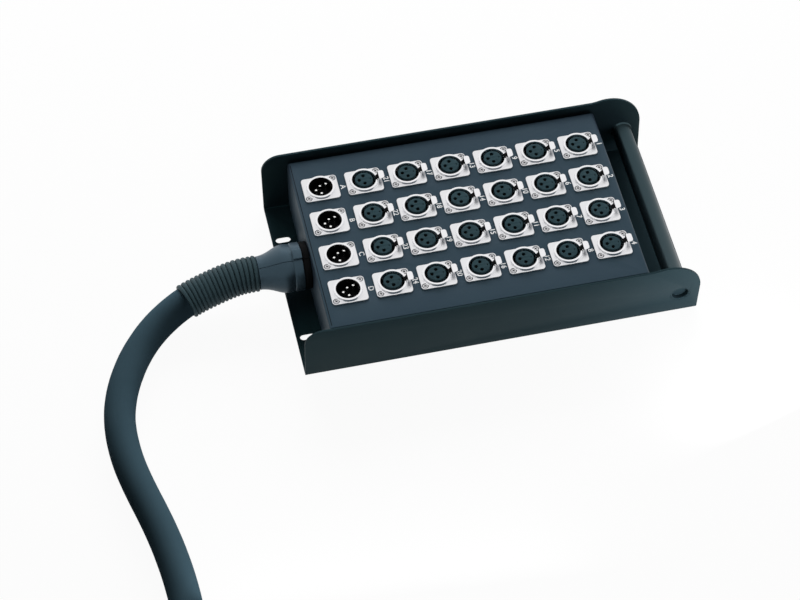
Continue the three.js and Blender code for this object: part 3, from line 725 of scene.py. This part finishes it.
# Latches: each is its own piece on its own body, so that it can be pressed
latch = {
    "tail": 9.7, "arm": 2.2, "armEnd": 12.3, "wide": 4.5, "end": 17.6, "corner": 2.6,
    "neckShare": 0.06, "widestShare": 0.28, "edge": 0.35,
    "under": ((9.7, 2.7), (10.6, 2.7), (12.7, 5.7), (17.6, 6.3)), "thick": 1.3,
    "easeBend": 0.3,  # each bend is spread over this much to both sides
    "paintedShadeEnd": 12.8,  # painted shade: the arm is black up to here, for the shade in the notch
}


def bent(start, control, end, steps=8):
    return [tuple((1 - t) ** 2 * a + 2 * t * (1 - t) * b + t * t * c
                  for a, b, c in zip(start, control, end))
            for t in (i / steps for i in range(1, steps + 1))]


def latchOutline(d):
    e = d["edge"]
    arm, wide, end, tail = d["arm"] - e, d["wide"] - e, d["end"] - e, d["tail"] + e
    reach, corner = d["end"] - d["armEnd"], d["corner"] - e
    neck, widest = d["armEnd"] + reach * d["neckShare"], d["armEnd"] + reach * d["widestShare"]
    points = [(tail, -arm), (d["armEnd"], -arm)]
    points += bent(points[-1], (neck, -wide), (widest, -wide))
    points.append((end - corner, -wide))
    points += bent((end - corner, -wide), (end, -wide), (end, corner - wide))
    points.append((end, wide - corner))
    points += bent((end, wide - corner), (end, wide), (end - corner, wide))
    points.append((widest, wide))
    points += bent((widest, wide), (neck, wide), (d["armEnd"], arm))
    return points + [(tail, arm)]


def underside(d, x):  # height of the latch's underside at a distance from the socket's middle
    for (x0, z0), (x1, z1) in zip(d["under"], d["under"][1:]):
        if x <= x1 or (x1, z1) == d["under"][-1]:
            return z0 + (z1 - z0) * (x - x0) / (x1 - x0)


def makeLatchMesh(d):
    mesh = plateMesh("latch", latchOutline(d), [], 0, d["thick"], d["edge"])
    work = bmesh.new()
    work.from_mesh(mesh)
    bends, ease = [x for x, z in d["under"][1:-1]], d["easeBend"]
    for x in bends + [x + step for x in bends for step in (-ease, ease)] + [d["paintedShadeEnd"]]:
        bmesh.ops.bisect_plane(work, geom=work.verts[:] + work.edges[:] + work.faces[:],
                               plane_co=(x * mm, 0, 0), plane_no=(1, 0, 0))
    for vertex in work.verts:
        heights = [underside(d, vertex.co.x / mm + step) for step in (-ease, 0, ease)]
        vertex.co.z += sum(heights) / 3 * mm
    work.to_mesh(mesh)
    work.free()
    return mesh


latchMesh = makeLatchMesh(latch)
for channel, (middle, y) in sends.items():
    mesh = latchMesh.copy()
    mesh.transform(Matrix.Translation((middle * mm, y * mm, panel["top"] * mm)))
    tab = newPiece("releaseTab%02d" % channel, mesh, latchNickel)
    # painted shade: the arm in the collar's notch is black, standing for the shade there
    paintWhere(tab, darkNylonAndShade, lambda centre: centre.x / mm - middle < latch["paintedShadeEnd"])
    settle(tab, "latch_%02d" % channel, "latch_nickel", "latch_%02d" % channel)
print("stage: latches")


# Printing: channel numbers and return letters, read from the cable end
printing = {
    "height": 4.6, "capitalShare": 0.7,  # how much of the font's size its capitals are
    "right": 19.3, "down": -1.0, "lift": 0.04, "bolder": 0.14, "thick": 0.02, "turn": -90,
}


def makeLabels(p):
    meshes = []
    for words, (x, y) in everySocket.items():
        text = bpy.data.curves.new("label", "FONT")
        text.body, text.align_x, text.align_y = str(words), "CENTER", "CENTER"
        text.size = p["height"] / p["capitalShare"] * mm
        text.extrude, text.offset = p["thick"] * mm, p["bolder"] * mm
        drawn = linked("label", text)
        mesh = meshOf(drawn)
        bpy.data.objects.remove(drawn)
        mesh.transform(Matrix.Translation((
            (x + p["right"]) * mm, (y + p["down"]) * mm, (panel["top"] + p["lift"]) * mm))
            @ Matrix.Rotation(math.radians(p["turn"]), 4, "Z"))
        meshes.append(mesh)
    return newPiece("panelPrinting", joined("panelPrinting", meshes), printInk)


settle(makeLabels(printing), boxBody, "cover_paint")
print("stage: printing")


# A fine dark line across the panel, near its fold at the cable end
panelLine = {"x": -146.7, "wide": 0.55, "reach": 89.5, "low": -0.3, "lift": 0.03}


def makePanelLine(p):
    low, high = panel["top"] + p["low"], panel["top"] + p["lift"]
    line = brick("panelLine", (p["x"] - p["wide"] / 2, -p["reach"], low),
                 (p["x"] + p["wide"] / 2, p["reach"], high))
    line.data.materials.append(darkNylonAndShade)
    return line


settle(makePanelLine(panelLine), boxBody, "cover_paint")


# Gland and sleeve on the cable's way out
gland = {
    "foot": (-148.85, 0, 30),  # on the cover's wall
    "bore": 13.65, "steps": 96, "sharpDegrees": 38,
    "profile": (  # radii, and heights from the wall outwards
        (13.65, -6.9), (20, -6.9), (20, -1.9), (16, -1.9), (16, 0.3), (20.2, 0.3), (20.6, 0.7),
        (20.6, 5.6), (20.4, 5.9), (19.8, 6.1), (19.8, 6.5), (20.5, 6.7), (20.9, 7.0),
        (20.9, 13.9), (20.75, 14.3), (20.1, 14.9), (20.2, 15.5), (20.7, 17.5), (20.95, 20.0),
        (20.9, 22.5), (20.3, 25.2), (19.3, 28.0), (18.0, 31.0), (16.7, 34.0), (15.6, 37.2),
        (14.9, 40.2), (14.55, 42.4), (14.5, 44.3), (14.2, 44.6), (13.65, 44.6)),
    "seam": 24, "seamHalf": 0.9, "seamRoom": 0.8,  # degrees from the top, half its width, beside
    "seamShares": ((-1.5, 0), (-0.5, 1), (0.5, 1), (1.5, 0)),  # of its half width and its depth
    "seamDepth": 0.45, "seamStart": 0.2, "seamSkin": 0.4,
    "lug": ((19.0, -4.75, 6.4), (22.0, 4.75, 14.4)), "lugTurn": -9,
    "lugCorner": 0.7, "lugCornerSteps": 3,
    "blackRing": 6.3,  # the ring against the wall is black up to here
}


def makeGland(g):  # a clamp shell of two halves: the seam is a groove round both sides
    angles = {round(360 * i / g["steps"], 3): 0 for i in range(g["steps"])}
    for seam in (g["seam"], g["seam"] + 180):
        angles = {a: s for a, s in angles.items() if abs(a - seam) > g["seamHalf"] + g["seamRoom"]}
        for offset, share in g["seamShares"]:
            angles[seam + offset * g["seamHalf"]] = share
    points, faces = [], []
    order = sorted(angles)
    for radius, height in g["profile"]:
        outside = height > g["seamStart"] and radius > g["bore"] + g["seamSkin"]
        for angle in order:
            reach = radius - (g["seamDepth"] * angles[angle] if outside else 0)
            turn = math.radians(angle)  # the mesh's +X is the top once it lies down
            points.append((reach * mm * math.cos(turn), -reach * mm * math.sin(turn), height * mm))
    count = len(order)
    for k in range(len(g["profile"])):
        low, high = k * count, (k + 1) % len(g["profile"]) * count
        for i in range(count):
            j = (i + 1) % count
            faces.append((low + i, low + j, high + j, high + i))
    lug = brick("glandLug", *g["lug"])
    rounded = lug.modifiers.new("edges", "BEVEL")
    rounded.width, rounded.segments = g["lugCorner"] * mm, g["lugCornerSteps"]
    block = applied(lug).data
    block.transform(Matrix.Rotation(math.radians(g["lugTurn"]), 4, "Z"))
    mesh = joined("cableGland", [meshFrom("glandBody", points, faces), block])
    bpy.data.objects.remove(lug)
    layDown(mesh, g["foot"], -90)
    piece = newPiece("glandShell", mesh, glandPlastic, g["sharpDegrees"])
    paintWhere(piece, darkNylonAndShade,
               lambda centre: centre.x / mm > g["foot"][0] - g["blackRing"])
    return piece


glandShell = settle(makeGland(gland), boxBody, "gland_moulding", "cable_gland")

sleeve = {
    "start": -193.75, "ribs": 17, "pitch": 3.9, "crest": 15.7, "valley": 13.7,
    "flat": 0.4,  # the power that makes wide crests and narrow grooves
    "stepsPerRib": 16, "roundness": 48, "lineSteps": 40, "sharpDegrees": 60,
}


def sleeveTree(s):
    tree, given = startTree("ribbedSleeve", ("Pitch", "Float"), ("Crest", "Float"),
                            ("Valley", "Float"), ("Step", "Float"), ("Flat", "Float"))
    line = addNode(tree, "GeometryNodeResampleCurve", {
        "Curve": given["Geometry"], "Length": given["Step"]}, mode="LENGTH")
    value = addNode(tree, "GeometryNodeSplineParameter").outputs["Length"]
    # the sine of the share of the pitch, flattened
    for operation, other in (("DIVIDE", given["Pitch"]), ("FRACT", 0), ("MULTIPLY", math.pi),
                             ("SINE", 0), ("POWER", given["Flat"])):
        value = addNode(tree, "ShaderNodeMath", {0: value, 1: other},
                        operation=operation).outputs[0]
    radius = addNode(tree, "ShaderNodeMapRange", {
        "Value": value, "To Min": given["Valley"], "To Max": given["Crest"]})
    ring = addNode(tree, "GeometryNodeCurvePrimitiveCircle", {
        "Resolution": s["roundness"], "Radius": 1.0})
    tube = addNode(tree, "GeometryNodeCurveToMesh", {
        "Curve": line.outputs["Curve"], "Profile Curve": ring.outputs["Curve"],
        "Scale": radius.outputs["Result"], "Fill Caps": True})
    return endTree(tree, tube.outputs["Mesh"], given)


def sleeveLine(s):
    line, run = [], 0.0
    for point in alongRoute(cable["route"], s["lineSteps"])[1:]:
        if point.x > s["start"]:
            continue
        if not line:
            line.append(Vector((s["start"], point.y, point.z)))
        run += (point - line[-1]).length
        if run > s["ribs"] * s["pitch"]:
            break
        line.append(point)
    return line


def makeSleeve(s):
    curve = bpy.data.curves.new("sleeveLine", "CURVE")
    curve.dimensions = "3D"
    points = sleeveLine(s)
    spline = curve.splines.new("POLY")
    spline.points.add(len(points) - 1)
    for target, point in zip(spline.points, points):
        target.co = (*(point * mm), 1)
    piece = runTree("ribbedBoot", linked("sleeveLine", curve), sleeveTree(s), {
        "Pitch": s["pitch"] * mm, "Crest": s["crest"] * mm, "Valley": s["valley"] * mm,
        "Step": s["pitch"] / s["stepsPerRib"] * mm, "Flat": s["flat"], "Finish": sleeveRubber})
    shade(piece.data, s["sharpDegrees"])
    return piece


boot = settle(makeSleeve(sleeve), boxBody, "sleeve_rubber", "ribbed_sleeve")
print("stage: gland and sleeve")


# Far connector and the ties that hold the coil
plug = {
    "start": (coilPoints[-1].x - 8, coilPoints[-1].y, coil["endHeight"]),
    "steps": 96, "nutSides": 6, "sharpDegrees": 28,
    "shell": (
        (0, 9), (15.5, 9), (15.5, 20), (16.2, 21.2), (22.4, 36.6), (23, 38.2), (23, 80.6),
        (23.4, 82), (25.4, 82.2), (25.7, 83), (25.7, 84.2), (25.0, 84.8), (25.0, 105.2),
        (25.7, 105.8), (25.7, 111.4), (25.2, 112), (21.4, 112), (21, 111.6), (21, 98), (0, 98)),
    "nut": ((13.7, 0.4), (16.6, 0.0), (17.4, 0.9), (17.4, 15.2), (16.6, 16), (13.7, 16)),
    "insert": 18.2, "insertSteps": 64, "insertLow": 93, "insertHigh": 108, "insertEdge": 0.3,
    "contact": 0.85, "contactSteps": 10, "contactPitch": 3.2,
    "contactField": 16.2, "contactRows": 5,  # to each side of the middle
}


def makePlug(p):
    shell = turnedMesh("plugShell", p["shell"], p["steps"])
    nut = turnedMesh("plugNut", p["nut"], p["nutSides"], closed=True)
    piece = newPiece("plugShell", joined("plugShell", [shell, nut]), shellAnodised,
                     p["sharpDegrees"])
    layDown(piece.data, p["start"], 90)
    return piece


def makePlugInsert(p):
    lines = [p["contactPitch"] * n for n in range(-p["contactRows"], p["contactRows"] + 1)]
    holes = [circle(p["contact"], (x, y), p["contactSteps"]) for x in lines for y in lines
             if math.hypot(x, y) < p["contactField"]]
    mesh = plateMesh("plugInsert", circle(p["insert"], steps=p["insertSteps"]), holes,
                     p["insertLow"], p["insertHigh"], p["insertEdge"])
    piece = newPiece("plugInsert", mesh, darkNylonAndShade)
    layDown(piece.data, p["start"], 90)
    return piece


plugShell = settle(makePlug(plug), boxBody, "connector_shell", "multipin_connector")
plugInsert = settle(makePlugInsert(plug), boxBody, "connector_shell")

tie = {
    "angles": (28, 150), "width": 22, "thick": 1.2, "room": 0.3,
    "beside": 30,  # it goes round the cable's points that are no further to its side
    "steps": 24, "innerLow": 0.15, "outerLow": 0.05,
}


def hullOf(points):  # the convex outline of points in a plane
    points = sorted(set(points))

    def half(run):
        out = []
        for p in run:
            while len(out) > 1 and ((out[-1][0] - out[-2][0]) * (p[1] - out[-2][1])
                                    - (out[-1][1] - out[-2][1]) * (p[0] - out[-2][0])) <= 0:
                out.pop()
            out.append(p)
        return out
    return half(points)[:-1] + half(reversed(points))[:-1]


def makeTie(name, degrees, t):
    centre = Vector((*coil["centre"], 0))
    heading = Vector((math.cos(math.radians(degrees)), math.sin(math.radians(degrees)), 0))
    side = Vector((-heading.y, heading.x, 0))
    reach = cable["radius"] + t["room"]
    spots = []
    for point in coilPoints:
        out = point - centre
        if out.dot(heading) > 0 and abs(out.dot(side)) < t["beside"]:
            for i in range(t["steps"]):
                angle = 2 * math.pi * i / t["steps"]
                z = max(point.z + reach * math.sin(angle), t["innerLow"])
                spots.append((round(out.dot(heading) + reach * math.cos(angle), 3), round(z, 3)))
    outline = hullOf(spots)
    points, faces = [], []
    count = len(outline)
    middle = (sum(r for r, z in outline) / count, sum(z for r, z in outline) / count)
    for r, z in outline:
        away = Vector((r - middle[0], z - middle[1])).normalized() * t["thick"]
        for dr, dz, across in ((0, 0, -1), (away.x, away.y, -1), (away.x, away.y, 1), (0, 0, 1)):
            spot = centre + heading * (r + dr) + side * (across * t["width"] / 2)
            points.append((spot.x * mm, spot.y * mm, max(z + dz, t["outerLow"]) * mm))
    for i in range(count):
        j = (i + 1) % count
        for k in range(4):
            m = (k + 1) % 4
            faces.append((4 * i + k, 4 * i + m, 4 * j + m, 4 * j + k))
    return newPiece(name, meshFrom(name, points, faces), tieWebbing)


ties = [settle(makeTie("coilTie%d" % (i + 1), angle, tie), boxBody, "cable_sheath")
        for i, angle in enumerate(tie["angles"])]
print("stage: connector and ties")


# Studio: a white floor, a big soft light behind and above the box, a weak one at its right, and
# two small ones low in front. Metres and watts
studio = {
    "surround": 0.03,
    "floorReach": 2.5,  # to each side
    "floorLow": -0.0002,  # under the tray, so that the two don't lie in one plane
    "floorShare": 0.1, "floorWhite": 0.9,  # its colour for the lamps' light, and for what sees it
    "seenGlow": 0.95, "mirrorGlow": 0.6,  # how much of it glows white for the camera, in mirrors
    "lamps": [  # name, place, aims at, length and width, power
        ("backSoftbox", (0.3, 2.0, 1.2), (0, 0, 0), (2.0, 1.2), 77),
        ("rightSoftbox", (1.6, 1.0, 1.2), (0.1, 0, 0.03), (1.0, 1.0), 9),
        ("frontCard", (0.2, -0.22, 0.045), (0.16, -0.09, 0.03), (0.08, 0.04), 0.27),
        ("frontFill", (-0.14, -0.32, 0.045), (-0.12, -0.09, 0.03), (0.3, 0.05), 0.13),
    ],
}


def rayShare(tree, straight, mirrored):  # for the rays of the camera and glass, and of mirrors
    path = addNode(tree, "ShaderNodeLightPath").outputs
    seen = addNode(tree, "ShaderNodeMath", {
        0: path["Is Camera Ray"], 1: path["Is Transmission Ray"]}, operation="MAXIMUM")
    seen = addNode(tree, "ShaderNodeMath", {0: seen.outputs[0], 1: straight}, operation="MULTIPLY")
    glossy = addNode(tree, "ShaderNodeMath", {
        0: path["Is Glossy Ray"], 1: mirrored}, operation="MULTIPLY")
    return addNode(tree, "ShaderNodeMath", {
        0: seen.outputs[0], 1: glossy.outputs[0]}, operation="MAXIMUM").outputs[0]


def makeStudio(s):
    world = bpy.data.worlds.new("studio")
    scene.world = world
    tree = emptyTree(world)
    white = fromHex("#FFFFFF")
    plain = addNode(tree, "ShaderNodeBackground", {"Color": white, "Strength": s["surround"]})
    full = addNode(tree, "ShaderNodeBackground", {"Color": white, "Strength": 1.0})
    mix = addNode(tree, "ShaderNodeMixShader", {
        "Fac": rayShare(tree, 1, 1), 1: plain.outputs[0], 2: full.outputs[0]})
    addNode(tree, "ShaderNodeOutputWorld", {"Surface": mix.outputs[0]})
    for name, place, aim, (length, width), watts in s["lamps"]:
        light = bpy.data.lights.new(name, "AREA")
        light.shape, light.size, light.size_y, light.energy = "RECTANGLE", length, width, watts
        lamp = linked(name, light)
        lamp.location = place
        lamp.rotation_euler = (Vector(aim) - Vector(place)).to_track_quat("-Z", "Y").to_euler()
        lamp.visible_camera = lamp.visible_glossy = False  # the white surroundings are the gloss


def makeFloor(s):
    material = bpy.data.materials.new("studioFloor")
    tree = emptyTree(material)
    # what sees the floor sees it white with the object's shadow; it sends little light back
    colour = addNode(tree, "ShaderNodeMapRange", {
        "Value": rayShare(tree, 1, 1), "To Min": s["floorShare"], "To Max": s["floorWhite"]})
    matt = addNode(tree, "ShaderNodeBsdfDiffuse", {"Color": colour.outputs["Result"]})
    glow = addNode(tree, "ShaderNodeEmission", {"Color": fromHex("#FFFFFF"), "Strength": 1.0})
    mix = addNode(tree, "ShaderNodeMixShader", {
        "Fac": rayShare(tree, s["seenGlow"], s["mirrorGlow"]),
        1: matt.outputs[0], 2: glow.outputs[0]})
    addNode(tree, "ShaderNodeOutputMaterial", {"Surface": mix.outputs[0]})
    reach = s["floorReach"]
    mesh = bpy.data.meshes.new("studioFloor")
    mesh.from_pydata([(x * reach, y * reach, s["floorLow"])
                      for x, y in ((-1, -1), (1, -1), (1, 1), (-1, 1))], [], [(0, 1, 2, 3)])
    mesh.materials.append(material)
    linked("studioFloor", mesh)


makeStudio(studio)
makeFloor(studio)
scene.view_settings.view_transform = "Standard"
print("stage: studio")
